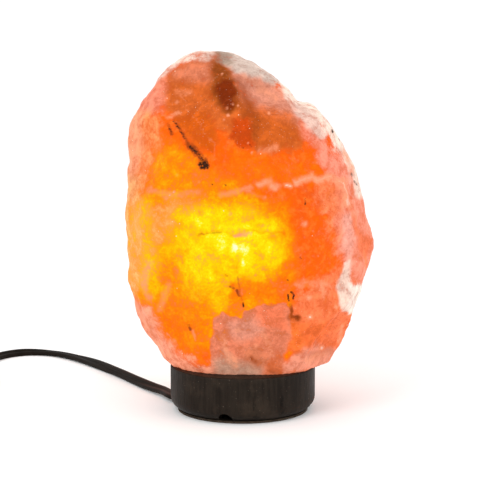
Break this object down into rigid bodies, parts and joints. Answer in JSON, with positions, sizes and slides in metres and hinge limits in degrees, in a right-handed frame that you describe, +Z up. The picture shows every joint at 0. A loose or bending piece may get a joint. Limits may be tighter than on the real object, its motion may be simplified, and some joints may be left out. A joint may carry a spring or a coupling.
{
  "type": "salt crystal lamp",
  "caption": "Rough lump of rock salt on a round wooden base, lit from inside by a small bulb, with a flat flex, a wheel dimmer and a plug.",
  "frame": {"origin": "axis of the turned base at the table, z = 0 under the felt ring", "axes": "+Z up along the axis of the base, bulb and holder; -Y towards the viewer of the front"},
  "size_m": [0.3982, 0.2672, 0.246],
  "materials": {
    "salt": "rough-hewn translucent rock salt, lit from inside",
    "wood": "dark stained and waxed, fine open grain",
    "felt": "pressed felt",
    "steel": "zinc plated",
    "spring_steel": "bright spring strip",
    "nylon": "natural nylon",
    "black_plastic": "fine moulded",
    "rubber": "matt",
    "ceramic": "unglazed steatite",
    "brass": "rolled sheet",
    "glass": "clear",
    "black_glass": "glossy insulator",
    "solder": "dull solder",
    "nickel": "drawn wire",
    "tungsten": "glowing filament wire",
    "flex_pvc": "satin extruded",
    "tie_fabric": "woven hook-and-loop strap",
    "dimmer_plastic": "fine spark-eroded texture",
    "wheel_plastic": "moulded",
    "grey_metal": "tinned can",
    "board": "solder mask",
    "capacitor_film": "dipped film capacitor",
    "nickel_brass": "nickel plated"
  },
  "bodies": {
    "root": {"salt_crystal": "salt", "wood_base": "wood", "base_felt": "felt", "base_screws": "steel", "salt_wall_plugs": "nylon", "flex_in_base": "flex_pvc", "flex_run": "flex_pvc", "flex_link": "flex_pvc", "flex_coil": "flex_pvc", "flex_tail": "flex_pvc", "cord_tie": "tie_fabric", "dimmer_lower_shell": "dimmer_plastic", "dimmer_upper_shell": "dimmer_plastic", "dimmer_screws": "steel", "dimmer_cord_grips": "rubber", "dimmer_potentiometer": "grey_metal", "dimmer_circuit_board": "board", "dimmer_triac": "black_plastic", "dimmer_capacitor": "capacitor_film", "plug_body": "flex_pvc", "plug_blades": "nickel_brass"},
    "bulb_holder": {"holder_shell": "black_plastic", "holder_end_cap": "black_plastic", "flex_grommet": "rubber", "holder_core": "ceramic", "holder_screw_shell": "brass", "holder_centre_contact": "brass", "holder_terminals": "brass", "terminal_screws": "steel", "spring_clip": "spring_steel", "clip_rivets": "steel"},
    "bulb": {"bulb_glass": "glass", "bulb_cap": "brass", "bulb_insulator": "black_glass", "bulb_contact": "solder", "bulb_stem": "glass", "bulb_lead_wires": "nickel", "bulb_filament": "tungsten"},
    "dimmer_wheel": {"dimmer_wheel": "wheel_plastic", "dimmer_spindle": "nylon"}
  },
  "joints": [
    {"name": "holder_pull", "type": "slide", "parent": "root", "child": "bulb_holder", "axis": [0, 0, -1], "range_m": [0, 0.13], "deforming": ["flex_in_base"]},
    {"name": "bulb_turn", "type": "hinge", "parent": "bulb_holder", "child": "bulb", "pos_m": [0, 0, 0.074], "axis": [0, 0, 1], "range_deg": [0, 1800]},
    {"name": "dimmer_turn", "type": "hinge", "parent": "root", "child": "dimmer_wheel", "pos_m": [-0.20706, 0.04982, 0.0085], "axis": [0, 0, 1], "range_deg": [0, 270]}
  ]
}
